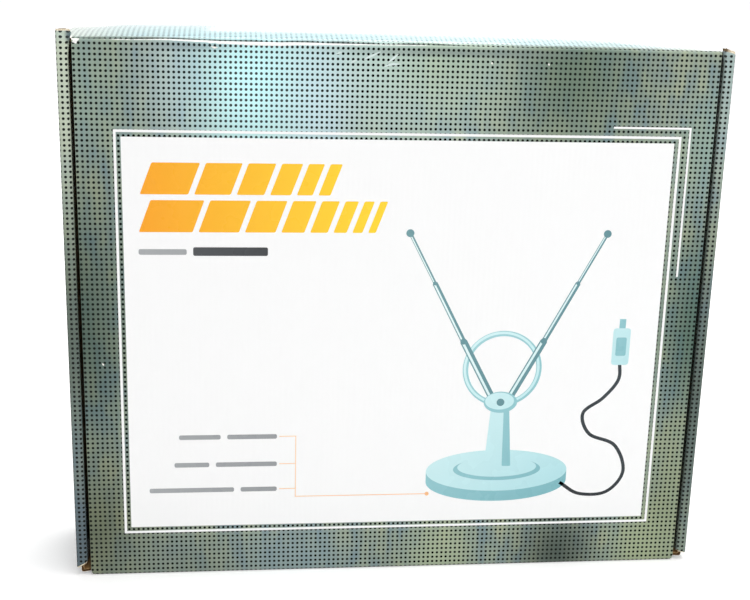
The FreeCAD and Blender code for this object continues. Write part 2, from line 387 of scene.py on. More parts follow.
lidPrint = laminatedPrint("laminatedLidPrint", lidFields, printing["lidFilm"], lidPaleWashAndGlare, panelArt)
trayPrint = laminatedPrint("laminatedTrayPrint", trayFields, printing["trayFilm"], trayPaintedGlare)
linerPaper = brownPaper("brownLinerPaper", "#c09a68", "#a98254", "#7a5b39", (6.0, 2.0, 2.0))
edgePaper = brownPaper("cutBoardEdge", "#c3a278", "#9a7b52", "#6b4d2d", (0.8, 0.8, 0.8))
corePaper = brownPaper("flutedCorePaper", "#8a683f", "#5f4529", "#4a341d", (1.5, 1.5, 1.5))
whitePaper = tornPaper("tornWhitePaper", "#f7f5f0", "#dcd9d1")
tornLiner = tornPaper("tornLinerPaper", "#efe5d0", "#cdbb98",
                      {"centre": (187.0, front, 331.0), "reach": (2.0, 4.5), "colour": "#6e5a41"})
print("materials made")


def runFractions(length, marks):
    near = board["creaseReach"]
    flat = length - 2 * near
    if length < 4 * near:
        count = max(1, round(length / board["shortStep"]))
        fractions = [k / count for k in range(count + 1)]
    else:
        count = max(1, round(flat / board["rowStep"]))
        fractions = [0.0] + [(near + flat * k / count) / length for k in range(count + 1)] + [1.0]
    return sorted(fractions + [mark / length for mark in marks])


# a folded strip seen from its edge: corners on the printed side, inward to the left of travel where side is 1
def foldPath(corners, depth, side, marks=None):
    points = [Vector(corner) for corner in corners]
    runs = [b - a for a, b in zip(points, points[1:])]
    along = [run.normalized() for run in runs]
    inward = [Vector((-way.y, way.x)) * side for way in along]
    radius = max(board["foldRadius"] - depth, board["tightRadius"])
    bent, trims = [], []
    for i, point in enumerate(points):
        before, after = inward[max(i - 1, 0)], inward[min(i, len(runs) - 1)]
        bent.append(point + (before + after) / (1 + before.dot(after)) * depth)
        trims.append(radius * math.tan(before.angle(after) / 2) if 0 < i < len(runs) else 0.0)
    places, folds = [], []
    for i, run in enumerate(runs):
        start = bent[i] + along[i] * trims[i]
        end = bent[i + 1] - along[i] * trims[i + 1]
        for fraction in runFractions(run.length, (marks or {}).get(i, [])):
            places.append(start.lerp(end, fraction))
            folds.append(1.0 if (fraction == 0 and i > 0) or (fraction == 1 and i + 1 < len(runs)) else 0.0)
        if i + 1 < len(runs):
            turn = inward[i].angle(inward[i + 1])
            for k in range(1, board["arcSteps"]):
                f = k / board["arcSteps"]
                spoke = inward[i] * math.sin((1 - f) * turn) + inward[i + 1] * math.sin(f * turn)
                places.append(end + inward[i] * radius - spoke / math.sin(turn) * radius)
                folds.append(1.0)
    return places, folds


def clamp(x):
    return min(max(x, 0.0), 1.0)


def smoothStep(x, low, high):
    f = clamp((x - low) / (high - low))
    return f * f * (3 - 2 * f)


def pathLengths(places):
    lengths = [0.0]
    for a, b in zip(places, places[1:]):
        lengths.append(lengths[-1] + (b - a).length)
    return lengths


# one layer of the board between two depths: material numbers are outer face, inner face, rim, groove
def addLayer(bm, strip, depths, numbers, groove=0.0):
    uvLayer = bm.loops.layers.uv.get("sheet") or bm.loops.layers.uv.new("sheet")
    wearLayer = bm.verts.layers.float.get("wear") or bm.verts.layers.float.new("wear")
    side, marks = strip.get("side", 1), strip.get("marks")
    skin, folds = foldPath(strip["corners"], 0.0, side, marks)
    lengths = pathLengths(skin)
    widest = max(strip["span"](p)[1] - strip["span"](p)[0] for p in skin)
    columns = max(1, round(widest / strip.get("columnStep", board["columnStep"])))
    grids, uvAt = [], {}
    for depth in depths:
        path, _ = foldPath(strip["corners"], depth, side, marks)
        grid = []
        for i, p in enumerate(path):
            low, high = strip["span"](skin[i])
            row = []
            for j in range(columns + 1):
                c = low + (high - low) * j / columns
                vert = bm.verts.new(strip["place"](p.x, p.y, c))
                vert[wearLayer] = strip["wear"] if "wear" in strip else folds[i] * board["foldWear"]
                uvAt[vert] = Vector(strip["sheet"](lengths[i], c)) * mm
                row.append(vert)
            grid.append(row)
        grids.append(grid)
    rows = len(skin)

    def quad(a, b, c, d, number):
        face = bm.faces.new((a, b, c, d))
        face.material_index = number
        face.smooth = True
        for loop in face.loops:
            loop[uvLayer].uv = uvAt[loop.vert]

    for grid, number in zip(grids, numbers):
        for i in range(rows - 1):
            for j in range(columns):
                quad(grid[i][j], grid[i][j + 1], grid[i + 1][j + 1], grid[i + 1][j], number)

    ring = [(0, j) for j in range(columns)] + [(i, columns) for i in range(rows - 1)]
    ring += [(rows - 1, j) for j in range(columns, 0, -1)] + [(i, 0) for i in range(rows - 1, 0, -1)]
    outerRim, innerRim = (rim / (depths[1] - depths[0]) for rim in board["grooveRims"])
    chains = []
    for i, j in ring:
        outer, inner = grids[0][i][j], grids[1][i][j]
        chain = [outer, inner]
        if groove:
            pull = Vector()
            for atEdge, ni, nj in ((i == 0, 1, j), (i == rows - 1, rows - 2, j),
                                   (j == 0, i, 1), (j == columns, i, columns - 1)):
                if atEdge:
                    pull += (grids[0][ni][nj].co - outer.co).normalized() * groove
            a, d = outer.co.lerp(inner.co, outerRim), inner.co.lerp(outer.co, innerRim)
            between = [bm.verts.new(spot) for spot in (a, a + pull, d + pull, d)]
            for vert in between:
                uvAt[vert] = uvAt[outer]
            chain = [outer] + between + [inner]
        chains.append(chain)
    kinds = (2, 3, 3, 3, 2) if groove else (2,)
    for a, b in zip(chains, chains[1:] + chains[:1]):
        for k, kind in enumerate(kinds):
            quad(a[k], a[k + 1], b[k + 1], b[k], numbers[kind])


def placed(name, data):
    thing = bpy.data.objects.new(name, data)
    scene.collection.objects.link(thing)
    return thing


def meshObject(name, bm, materials, sharpAngle=35):
    bmesh.ops.recalc_face_normals(bm, faces=bm.faces[:])
    for vert in bm.verts:
        vert.co *= mm
    mesh = bpy.data.meshes.new(name)
    bm.to_mesh(mesh)
    bm.free()
    mesh.set_sharp_from_angle(angle=math.radians(sharpAngle))
    for material in materials:
        mesh.materials.append(material)
    return placed(name, mesh)


def settle(piece):
    evaluated = piece.evaluated_get(bpy.context.evaluated_depsgraph_get())
    plain = bpy.data.meshes.new_from_object(evaluated)
    piece.modifiers.clear()
    piece.data = plain
    plain.name = piece.name


# openings are boxes, each a lowest and a highest corner; their faces take the edge material's number
def cutOpenings(piece, boxes, number):
    bm = bmesh.new()
    for low, high in boxes:
        low, high = Vector(low), Vector(high)
        made = bmesh.ops.create_cube(bm, size=1.0)
        for vert in made["verts"]:
            vert.co = (low + high) / 2 + Vector([c * s for c, s in zip(vert.co, high - low)])
    for face in bm.faces:
        face.material_index = number
    cutter = meshObject("openingCutter", bm, piece.data.materials)
    modifier = piece.modifiers.new("openings", "BOOLEAN")
    modifier.operation, modifier.solver, modifier.object = "DIFFERENCE", "EXACT", cutter
    settle(piece)
    bpy.data.objects.remove(cutter)


def joined(name, parts):
    bm = bmesh.new()
    for part in parts:
        bm.from_mesh(part.data)
    mesh = bpy.data.meshes.new(name)
    bm.to_mesh(mesh)
    bm.free()
    for material in parts[0].data.materials:
        mesh.materials.append(material)
    for part in parts:
        bpy.data.objects.remove(part)
    return placed(name, mesh)


# where a strip's own three measures point: two along its fold path, the last across it
def alongX(a, b, c):
    return Vector((c, a, b))


def alongY(a, b, c):
    return Vector((a, c, b))


def alongZ(a, b, c):
    return Vector((a, b, c))


# the lid: panel, front flap and two ears
lidSheet = {
    "creaseLow": 318.0,     # the printed skin above this belongs to the hinge crease
    "boardTop": 0.5,        # above the hinge axis
    "flapCorner": 8.0,
    "lowCorner": 3.4,
    "lowRows": (2.0, 3.4),  # rows of faces that follow this corner
    "earFront": -30.0,
    "earBack": 10.0,
    "earHeight": 34.0,
    "earTaper": 5.0,
    "earCorner": 9.0,
    "earRoot": 1.0,         # an ear begins this far inside the flap's edge
    "earPrint": 40.0,       # and its print this far down the sheet
}
cornerRows = (0.4, 1.2, 2.4, 4.0, 6.0, 8.0)     # rows that follow a larger corner, from its end
firstX, firstZ = printing["firstDot"]
creaseLow, earHeight = lidSheet["creaseLow"], lidSheet["earHeight"]


def roundedInset(distance, radius):
    if distance >= radius:
        return 0.0
    return radius - math.sqrt(max(radius ** 2 - (radius - distance) ** 2, 0.0))


def lidSpan(p):
    reach = lidEdge - roundedInset(max(p.y, 0.0), lidSheet["lowCorner"])
    if p.x > front + board["foldRadius"] + hair:
        reach = earIn - roundedInset(flapBack - p.x, lidSheet["flapCorner"])
    return -reach, reach


def earSpan(p):
    rise = max(p.y, 0.0) / earHeight
    taper = lidSheet["earTaper"] * rise + roundedInset(earHeight - p.y, lidSheet["earCorner"])
    return lidSheet["earFront"] + taper, lidSheet["earBack"] - taper


flapMarks = [flapBack - front - d for d in cornerRows[:-1]]
boardTop = hingeAxis.z + lidSheet["boardTop"]
skinMarks, boardMarks = [[high - d for d in lidSheet["lowRows"]] for high in (creaseLow, boardTop)]
lidSkin = {
    "corners": [(front, creaseLow), (front, 0.0), (flapBack, 0.0)],
    "span": lidSpan, "place": alongX, "marks": {0: skinMarks, 1: flapMarks},
    "sheet": lambda s, c: (c - firstX, creaseLow - s - firstZ),
}
lidFlat = dict(lidSkin, corners=[(front, boardTop)] + lidSkin["corners"][1:],
               marks={0: boardMarks, 1: flapMarks})
earRoot = earIn - lidSheet["earRoot"]
earStrips = []
for way in (1, -1):
    earStrips.append({
        "corners": [(way * earRoot, 0.0), (way * lidEdge, 0.0), (way * lidEdge, earHeight)],
        "span": earSpan, "place": alongY, "marks": {1: [earHeight - d for d in cornerRows]}, "side": way,
        "sheet": lambda s, c, way=way: (way * (earIn + s) - firstX, -c - lidSheet["earPrint"]),
    })


def foldLid(name, panel, depths, numbers, materials, groove=0.0):
    bm = bmesh.new()
    for strip in [panel] + earStrips:
        addLayer(bm, strip, depths, numbers, groove)
    return meshObject(name, bm, materials)


lidTopSheet = foldLid("lidTopSheet", lidSkin, (0.0, liner), (0, 1, 2), [lidPrint, linerPaper, whitePaper])
lidBoard = foldLid("lidBoard", lidFlat, (liner, thick), (1, 0, 1, 2), [linerPaper, edgePaper, corePaper],
                   board["grooveDepth"])
print("lid folded")

# the tray: front wall, base and hinge wall in one run, rolled sides, dust flaps and locking tabs
traySheet = {
    "creaseBack": -26.0,
    "dustLength": 78.0,
    "dustTaper": 5.0,
    "tabWidth": 42.0,
    "tabInset": 82.0,
    "tabRoot": 1.0,         # a tab begins this far inside its panel
    "tabRecess": 0.3,
    "slotGap": 0.4,
    "earClearance": 0.5,
    "cutPast": 1.0,         # an opening is cut this far past both sides of the board
    "wallBow": 4.0,         # the hinge wall stands proud in its middle
    "bowReach": 0.5,        # past the dust flaps
    "bowDepth": 1.0,        # under the wall
    "endDroop": 2.4,        # and is pressed down at its back corners
    "droopEnds": (152.0, 192.0),
    "droopRise": (308.0, 327.0),
    "tornReach": 4.0,       # its board is torn away at the front left corner
    "tornClear": 0.4,       # as far as this past the lid's edge
    "sagReach": 16.0,       # the front wall's corners sag
    "sagRise": (1.6, 4.0),  # and no more at the second of these heights
    "rollRelief": 4.5,      # the rolls are cut back at the base panel
    "raiseReach": (0.02, 0.14),     # shares of the depth
    "dropReach": (0.0, 0.3),
    "innerRow": 0.25,       # first row of the inner panel, past its fold
    "crestDots": 2.35,      # from a crest's outer side to its middle column of dots
    "crestBulge": 2.0,      # the crests lean towards the lid above its edge
    "bulgeRise": (-5.0, 1.5),
}
# the rolled ends, left and right: how far the crest rides up at its outer and inner side, how far its print
# is torn off there, its rounded shoulder, how far its lower end reaches down, that end's slant and torn
# print; then the low corner's sag and the wear of the hinge wall's corner
rollEnds = {
    -1: {"raise": (5.0, 5.2), "torn": 1.0, "shoulder": 1.2, "drop": 1.6, "slant": 3.7, "tornLow": 0.9,
         "sag": 1.2, "wear": 1.6},
    1: {"raise": (0.2, 2.4), "torn": 1.5, "shoulder": 0.6, "drop": 1.8, "slant": 1.9, "tornLow": 0.6,
        "sag": 0.7, "wear": 0.9},
}
creaseBack = traySheet["creaseBack"]


def trayEnds(p):
    onBase = p.x > back - board["foldRadius"] and rollLow <= p.y <= top - board["foldRadius"] + hair
    reach = half - joinInset if onBase else dustOut - joinInset
    torn = 0.0
    if p.y > top - thick:
        torn = reach - lidEdge - traySheet["tornClear"]
        torn *= 1 - smoothStep(p.x, wallFront, wallFront + traySheet["tornReach"])
    return torn - reach, reach


def rollSpan(p, torn=0.0):
    end = rollEnds[1 if p.x > 0 else -1]
    inner = abs(p.x) < innerIn + board["foldRadius"] and p.y > front + board["foldRadius"] + slack
    along = (p.y - front) / (back - front)
    across = clamp((half - abs(p.x)) / (half - innerIn))
    atCrest = 1 - smoothStep(along, *traySheet["raiseReach"])
    outerRaise, innerRaise = end["raise"]
    raised = (outerRaise + (innerRaise - outerRaise) * across - torn * end["torn"]) * atCrest
    raised -= traySheet["rollRelief"] * along + roundedInset(abs(p.x) - innerIn, end["shoulder"])
    lowered = end["slant"] * across - end["drop"] + torn * end["tornLow"]
    lowered *= 1 - smoothStep(along, *traySheet["dropReach"])
    return rollLow + lowered, innerHigh if inner else top + raised


def dustSpan(p, wall):
    taper = traySheet["dustTaper"] * abs(p.y - wall) / traySheet["dustLength"]
    return wallFront + taper, panelEnd - taper


def crestBulge(x, y, z):
    low, high = traySheet["bulgeRise"]
    risen = clamp((z - top - low) / (high - low)) if y < wallFront - slack / 2 else 0.0
    return -math.copysign(traySheet["crestBulge"], x) * risen * (1 - smoothStep(abs(x), innerIn, dustOut))


def wallShift(x, y, z):
    along = clamp((y - front) / (back - front))
    shift = 0.0
    if z > top - thick - traySheet["bowDepth"]:
        across = max(1 - (x / (dustOut + traySheet["bowReach"])) ** 4, 0.0)
        shift += traySheet["wallBow"] * across * math.sin(math.pi * along)
    droop = smoothStep(abs(x), *traySheet["droopEnds"]) * smoothStep(z, *traySheet["droopRise"])
    shift -= traySheet["endDroop"] * droop * along ** 2
    if y > wallFront - slack and abs(x) < dustOut + slack:
        sag = smoothStep(abs(x), lidEdge + 2 * slack, dustOut - joinInset)
        sag *= 1 - smoothStep(y, wallFront, wallFront + traySheet["sagReach"])
        sag *= 1 - smoothStep(z - wallLow, *traySheet["sagRise"])
        shift -= rollEnds[1 if x > 0 else -1]["sag"] * sag
    return shift


trayRun = {
    "corners": [(wallFront, wallLow), (back, wallLow), (back, top), (wallFront, top)],
    "span": trayEnds, "place": alongX, "marks": {1: [rollLow - wallLow - hair, rollLow - wallLow + hair]},
}
runLength = pathLengths(foldPath(trayRun["corners"], 0.0, 1, trayRun["marks"])[0])[-1]
foldSave = (2 - math.pi / 2) * board["foldRadius"]     # a rounded corner is shorter than a sharp one by this
hingeEndV = top - foldSave + (wallFront - front)
trayRun["sheet"] = lambda s, c: (c - firstX, hingeEndV + runLength - s - firstZ)
traySkin = dict(trayRun, corners=trayRun["corners"][:3] + [(creaseBack, top)])

rollStrips, dustStrips, tabStrips, cornerStrips, tabSlots, earSlots = [], [], [], [], [], []
toCrest = joinInset + back - front - 2 * foldSave + foldSave / 2 + traySheet["crestDots"]
tabEnds = (panelEnd - traySheet["tabRoot"], back - traySheet["tabRecess"])
wallReach, cut = dustOut - joinInset, traySheet["cutPast"]
for way in (1, -1):
    rollStrips.append({
        "corners": [(way * (half - joinInset), back), (way * half, back), (way * half, front),
                    (way * innerIn, front), (way * innerIn, panelEnd)],
        "span": rollSpan, "place": alongZ, "side": -way, "marks": {3: [traySheet["innerRow"]]},
        "sheet": lambda s, c, way=way: (way * (s - toCrest), c - firstZ),
    })
    cornerStrips.append({
        "corners": [(creaseBack, top), (wallFront, top)], "place": alongX, "wear": rollEnds[way]["wear"],
        "span": lambda p, way=way: sorted((way * (lidEdge + slack), way * wallReach)),
        "sheet": lambda s, c: (c - firstX, creaseBack - s - firstZ),
    })
    for wall, up in ((top, -1), (wallLow, 1)):
        dustStrips.append({
            "corners": [(way * wallReach, wall), (way * dustOut, wall),
                        (way * dustOut, wall + up * traySheet["dustLength"])],
            "span": partial(dustSpan, wall=wall), "place": alongY, "side": way * up,
            "sheet": lambda s, c, way=way: (way * (wallReach + s) - firstX, c - firstZ),
        })
    for middle in (rollLow + traySheet["tabInset"], top - traySheet["tabInset"]):
        low, high = middle - traySheet["tabWidth"] / 2, middle + traySheet["tabWidth"] / 2
        tabStrips.append({
            "corners": [(way * innerIn, end) for end in tabEnds],
            "span": lambda p, low=low, high=high: (low, high), "place": alongZ, "side": -way,
            "sheet": lambda s, c, way=way: (way * (innerIn + s) - firstX, c - firstZ),
        })
        clear = traySheet["slotGap"]
        inX, outX = sorted((way * (innerIn - clear), way * (innerOut + clear)))
        tabSlots.append(((inX, back - thick - cut, low - clear), (outX, back + cut, high + clear)))
    clear = traySheet["earClearance"]
    inX, outX = sorted((way * (earIn - clear), way * (lidEdge + clear)))
    earSlots.append(((inX, wallFront - cut, wallLow - cut),
                     (outX, lidSheet["earBack"] + clear, wallLow + thick + cut)))


def foldTray(name, run, more, depths, numbers, materials, groove, edgeNumber):
    parts = []
    for strips in ([run], more + dustStrips + tabStrips):
        bm = bmesh.new()
        for strip in strips:
            addLayer(bm, strip, depths, numbers, groove)
        for vert in bm.verts:
            vert.co.x += crestBulge(*vert.co)
            vert.co.z += wallShift(*vert.co)
        parts.append(meshObject(name + "Part", bm, materials))
    cutOpenings(parts[0], tabSlots + earSlots, edgeNumber)
    return joined(name, parts)


rollSkins = [dict(strip, span=partial(rollSpan, torn=1.0)) for strip in rollStrips]
trayTopSheet = foldTray("trayTopSheet", traySkin, rollSkins + cornerStrips, (0.0, liner), (0, 1, 2),
                        [trayPrint, linerPaper, whitePaper], 0.0, 2)
trayBoard = foldTray("trayBoard", trayRun, rollStrips, (liner, thick), (3, 0, 1, 2),
                     [linerPaper, edgePaper, corePaper, tornLiner], board["grooveDepth"], 1)
print("tray folded")

# the printed skin over the hinge: rubbed white along the fold on the left, with a creased step behind it and
# painted shade darkening the creased line; a hump has its height, how far past the fold its middle lies and
# its width
hingeSkin = {
    "rowStep": 0.5,
    "columnStep": 1.2,
    "bend": 3.0,                    # the outward side turns over this distance
    "lift": (0.14, 0.0, 2.0),       # clear of the lid's round edge
    "ridge": (0.3, -0.6, 1.4),      # the fold stands proud where it is worked soft
    "swell": (0.9, 0.0, 3.5),       # and swells a little in places
    "groove": (0.4, 1.6, 0.55),     # creased line behind the fold
    "grooveWander": 0.25,
    "step": 1.0,                    # the wall behind the line stands this much higher
    "stepRise": (1.3, 2.6),
    "stepFall": (4.0, 8.6),
    "firm": 0.15,                   # share of all this where the fold is still firm
    "uneven": (0.8, 0.6),           # middle height and how far it varies
    "softEnds": (-176.0, 45.0),
    "softFade": 60.0,
    # painted shade along the creased line: where it runs, how dark for each millimetre of the groove, and
    # where it breaks up
    "lineEnds": (-184.0, 34.0),
    "lineShade": 2.875,              # for each millimetre of the groove
    "lineFaint": 0.25,              # share of it where the line breaks up
    "lineBreaks": (-0.25, 0.1),
    "rubbedEnds": (-172.0, 18.0),
    "rubbedTop": 0.7,
    "rubbedDepth": 0.7,
    "rubbedBelly": (1.8, -80.0, 40.0),   # deeper by this, around this x, over this reach
    "rubbedEdge": (0.4, 0.3),
    "rubbedWear": 1.7,
    "chipFrom": 0.36,
    "chipWear": (0.3, 0.95),        # outside the chips and in them
    "tornCorner": (-184.3, 2.4, 3.6),    # x, half its width at the fold, how far it runs down
    "tornEdge": 0.4,
    "tornWear": 2.0,
    # for each thing that varies along the fold: length, row of the noise, and length past the fold
    "noise": {"uneven": (26.0, 0.3, 9.0), "wander": (30.0, 4.2, 1.0), "swell": (38.0, 2.7, 1.0),
              "chips": (3.1, 7.7, 2.0), "line": (17.0, 9.1, 1.0)},
}


def fade(x, low, high, reach):
    rise = clamp((x - low) / reach + 0.5)
    fall = clamp((high - x) / reach + 0.5)
    return (rise * fall) ** 2 * (3 - 2 * rise * fall)


def hump(kind, x):
    height, middle, width = hingeSkin[kind]
    return height * math.exp(-((x - middle) / width) ** 2)


def varied(kind, x, past=0.0):
    length, row, depth = hingeSkin["noise"][kind]
    return noise.noise(Vector((x / length, row, past / depth)))


def markRows(length):
    return [d * hingeSkin["rowStep"] for d in range(1, int(length / hingeSkin["rowStep"]))]


creaseStrip = {
    "corners": [(front, creaseLow), (front, top), (creaseBack, top)],
    "span": lambda p: (-lidEdge, lidEdge), "place": alongX, "side": -1,
    "marks": {0: markRows(top - creaseLow), 1: markRows(creaseBack - front)},
    "columnStep": hingeSkin["columnStep"],
    "sheet": lambda s, c: (c - firstX, creaseLow + s - firstZ),
}
bm = bmesh.new()
addLayer(bm, creaseStrip, (0.0, liner), (0, 1, 2))
wearLayer = bm.verts.layers.float["wear"]
creaseShadeLayer = bm.verts.layers.float.new("creaseLine")
firm, faint, softFade = hingeSkin["firm"], hingeSkin["lineFaint"], hingeSkin["softFade"]
evenHeight, evenChange = hingeSkin["uneven"]
edgeOut, edgeIn = hingeSkin["rubbedEdge"]
tornX, tornWidth, tornDepth = hingeSkin["tornCorner"]
for vert in bm.verts:
    x, y, z = vert.co
    past = (y - front) - (top - z)           # below zero on the lid, above zero on the hinge wall
    lean = clamp(past / hingeSkin["bend"] + 0.5)
    outward = Vector((0, lean - 1, lean)).normalized()
    soft = firm + (1 - firm) * fade(x, *hingeSkin["softEnds"], softFade)
    uneven = evenHeight + evenChange * varied("uneven", x, past)
    groove = hump("groove", past - hingeSkin["grooveWander"] * varied("wander", x))
    rise = smoothStep(past, *hingeSkin["stepRise"]) * (1 - smoothStep(past, *hingeSkin["stepFall"]))
    swell = hump("swell", past) * max(varied("swell", x), 0.0)
    vert.co += outward * (hump("lift", past) + soft * (hump("ridge", past) * uneven - groove))
    vert.co.z += hingeSkin["step"] * soft * uneven * rise + soft * swell
    if past > 0:
        vert.co.z += wallShift(x, y, z)

    rubbed = fade(x, *hingeSkin["rubbedEnds"], softFade / 2)
    high = hingeSkin["rubbedTop"]
    low = high - hingeSkin["rubbedDepth"] - hump("rubbedBelly", x)
    band = smoothStep(past, low - edgeOut, low + edgeIn)
    band *= 1 - smoothStep(past, high - edgeIn, high + edgeOut)
    chips = hingeSkin["chipWear"][varied("chips", x, past) > hingeSkin["chipFrom"]]
    edge, torn = hingeSkin["tornEdge"], 0.0
    if past < edge:
        torn = smoothStep(tornWidth * (1 + past / tornDepth) - abs(x - tornX), -edge, edge)
    vert[wearLayer] = max(band * max(hingeSkin["rubbedWear"] * rubbed, chips), hingeSkin["tornWear"] * torn)
    # painted shade: the creased line darkens with the groove's depth and breaks up along the fold
    clear = faint + (1 - faint) * smoothStep(varied("line", x), *hingeSkin["lineBreaks"])
    dark = hingeSkin["lineShade"] * groove * clear * fade(x, *hingeSkin["lineEnds"], softFade / 2)
    vert[creaseShadeLayer] = min(1.0, dark)
hingeCrease = meshObject("hingeCrease", bm, [lidPrint, linerPaper, whitePaper])
print("hinge crease made")

# flat inks on the lid, each a thin plate: outlines are x and z in millimetres, levels lie on each other
inkLayer = {"thickness": 0.03, "levelStep": 0.012, "below": 0.01, "dotPoints": 24}
dotPoints = inkLayer["dotPoints"]


def inkSides(level):
    return front - inkLayer["thickness"] - inkLayer["levelStep"] * level, front + inkLayer["below"]


def addPlate(bm, outline, level, number):
    rings = [[bm.verts.new((x, y, z)) for x, z in outline] for y in inkSides(level)]
    faces = [bm.faces.new(rings[0]), bm.faces.new(rings[1][::-1])]
    count = len(outline)
    for i in range(count):
        k = (i + 1) % count
        faces.append(bm.faces.new((rings[0][i], rings[1][i], rings[1][k], rings[0][k])))
    for face in faces:
        face.material_index = number


def addStroke(bm, points, widths, level, number, closed=False):
    points = [Vector(p) for p in points]
    count = len(points)
    sides = []
    for i, p in enumerate(points):
        ahead = points[(i + 1) % count] if closed or i + 1 < count else p
        behind = points[i - 1] if closed or i else p
        way = (ahead - behind).normalized()
        width = widths[i] if isinstance(widths, list) else widths
        across = Vector((-way.y, way.x)) * width / 2
        sides.append([bm.verts.new((q.x, y, q.y)) for q in (p + across, p - across) for y in inkSides(level)])
    pairs = list(zip(sides, sides[1:])) + ([(sides[-1], sides[0])] if closed else [])
    made = []
    for a, b in pairs:
        for k, m in ((0, 2), (2, 3), (3, 1), (1, 0)):
            made.append(bm.faces.new((a[k], a[m], b[m], b[k])))
    if not closed:
        for end in (sides[0], sides[-1]):
            made.append(bm.faces.new([end[k] for k in (0, 1, 3, 2)]))
    for face in made:
        face.material_index = number


def roundedOutline(corners, radius, steps=5):
    corners = [Vector(c) for c in corners]
    outline = []
    for i, corner in enumerate(corners):
        before = (corners[i - 1] - corner).normalized()
        after = (corners[(i + 1) % len(corners)] - corner).normalized()
        start, end = corner + before * radius, corner + after * radius
        for k in range(steps + 1):
            f = k / steps
            outline.append(start * (1 - f) ** 2 + corner * 2 * f * (1 - f) + end * f ** 2)
    return outline


def boxCorners(x0, z0, x1, z1):
    return [(x0, z0), (x1, z0), (x1, z1), (x0, z1)]


def ellipse(x, z, reachX, reachZ, count=64, start=0.0, end=360.0):
    closed = abs(end - start) >= 360
    turns = [math.radians(start + (end - start) * k / (count if closed else count - 1)) for k in range(count)]
    return [(x + reachX * math.cos(t), z + reachZ * math.sin(t)) for t in turns]


def smoothLine(points, steps=10):
    points = [Vector(p) for p in points]
    padded = [points[0] * 2 - points[1]] + points + [points[-1] * 2 - points[-2]]
    line = []
    for a, b, c, d in zip(padded, padded[1:], padded[2:], padded[3:]):
        for k in range(steps):
            f = k / steps
            line.append(0.5 * (2 * b + (c - a) * f + (2 * a - 5 * b + 4 * c - d) * f ** 2
                               + (3 * b - a - 3 * c + d) * f ** 3))
    return line + [points[-1]]


# two rows of slanted stripes that grow narrower: left, right, low, high, how many
stripeRows = {
    "rows": [(-151.2, -34.8, 242.4, 261.0, 6), (-152.2, -7.7, 220.0, 239.0, 8)],
    "shrink": 0.76,
    "gap": 3.4,
    "slant": 7.0,
    "corner": 1.0,
}
slant = stripeRows["slant"]
bm = bmesh.new()
for left, right, low, high, count in stripeRows["rows"]:
    shares = [stripeRows["shrink"] ** k for k in range(count)]
    room = right - left - slant - stripeRows["gap"] * (count - 1)
    x = left
    for share in shares:
        width = room * share / sum(shares)
        slanted = [(x, low), (x + width, low), (x + width + slant, high), (x + slant, high)]
        addPlate(bm, roundedOutline(slanted, stripeRows["corner"]), 0, 0)
        x += width + stripeRows["gap"]
orangeInk = filmedInk("orangePrintInk", "#f9a41c", "#ffd630", (-152, 228), (-20, 252))
stripeBand = meshObject("stripeBand", bm, [orangeInk])

# plain grey bars and thin callout lines
greyBars = {
    "light": [(-152.6, -125.0, 206.4, 209.8), (-131.2, -106.2, 89.8, 92.8), (-102.2, -72.0, 89.8, 92.8),
              (-134.2, -113.2, 71.6, 74.6), (-109.2, -72.0, 71.6, 74.6), (-149.5, -98.2, 54.8, 57.8),
              (-94.2, -72.0, 54.8, 57.8)],
    "dark": [(-121.3, -77.9, 205.8, 211.0)],
    "corner": 1.2,
}
calloutLines = {
    "runs": [[(-70.5, 91.3), (-60.5, 91.3)], [(-70.5, 73.1), (-60.5, 73.1)], [(-70.5, 56.3), (-60.5, 56.3)],
             [(-60.5, 91.55), (-60.5, 50.65)], [(-60.5, 50.9), (22.0, 50.9)]],
    "width": 0.5,
    "levelStep": 0.2,
    "dot": (1.3, 1.3),
}
bm = bmesh.new()
for number, shade in enumerate(("light", "dark")):
    for left, right, low, high in greyBars[shade]:
        addPlate(bm, roundedOutline(boxCorners(left, low, right, high), greyBars["corner"]), 0, number)
lightGrey = filmedInk("lightGreyPrintInk", "#a5a8aa", "#96999b", (-150, 60), (-70, 60))
darkGrey = filmedInk("darkGreyPrintInk", "#4a4d50", "#3c3f42", (-121, 209), (-77, 209))
wordlessBars = meshObject("greyBars", bm, [lightGrey, darkGrey])
bm = bmesh.new()
for k, run in enumerate(calloutLines["runs"]):
    addStroke(bm, run, calloutLines["width"], k * calloutLines["levelStep"], 0)
addPlate(bm, ellipse(*calloutLines["runs"][-1][-1], *calloutLines["dot"], dotPoints), 2, 0)
paleOrange = filmedInk("paleOrangePrintInk", "#f7cfa0", "#f5bd86", (-70, 92), (20, 52))
callouts = meshObject("calloutLines", bm, [paleOrange])

# a plain sign for a table-top aerial: round foot, short mast, ring and two telescopic rods
aerialSign = {
    "foot": (66.0, 66.0, 45.0, 14.0),
    "footDrop": 7.0,
    "footPoints": 40,
    "footRings": [(1.0, 0.62, 0.55), (2.4, 0.56, 0.48)],     # rise, shares of the foot's reach
    "ring": (66.0, 134.0, 23.0, 3.4),
    "ringGlint": (0.4, 0.45),           # shift, share of the ring's width
    "mast": (8.5, 5.5, 3.0, 112.0),     # half its width below and above, rise from the foot, top
    "mastShade": (0.35, 0.4),
    "mastCorners": (1.5, 0.8),
    "rods": [[(62, 112), (41, 152), (22, 189), (6, 220)], [(70, 112), (91, 152), (110, 189), (126, 220)]],
    "rodWidths": (4.4, 3.2, 2.0),
    "rodGlint": (0.16, 0.34),           # shares of a rod's width: shift and width of its glint
    "rodJoint": 0.62,
    "tip": (2.4, 2.4),
    "knuckle": 7.0,
    # shift across and up, shares of the knuckle's reach
    "knuckleRounds": [(0.0, 0.0, 1.5, 1.0), (-0.6, 0.8, 1.3, 0.8)],
    "knucklePin": 0.35,
}
pale, middling, deep, glint = range(4)      # the sign's inks
footX, footZ, footW, footH = aerialSign["foot"]
drop = aerialSign["footDrop"]
bm = bmesh.new()
lowHalf = ellipse(footX, footZ - drop, footW, footH, aerialSign["footPoints"], 180, 360)
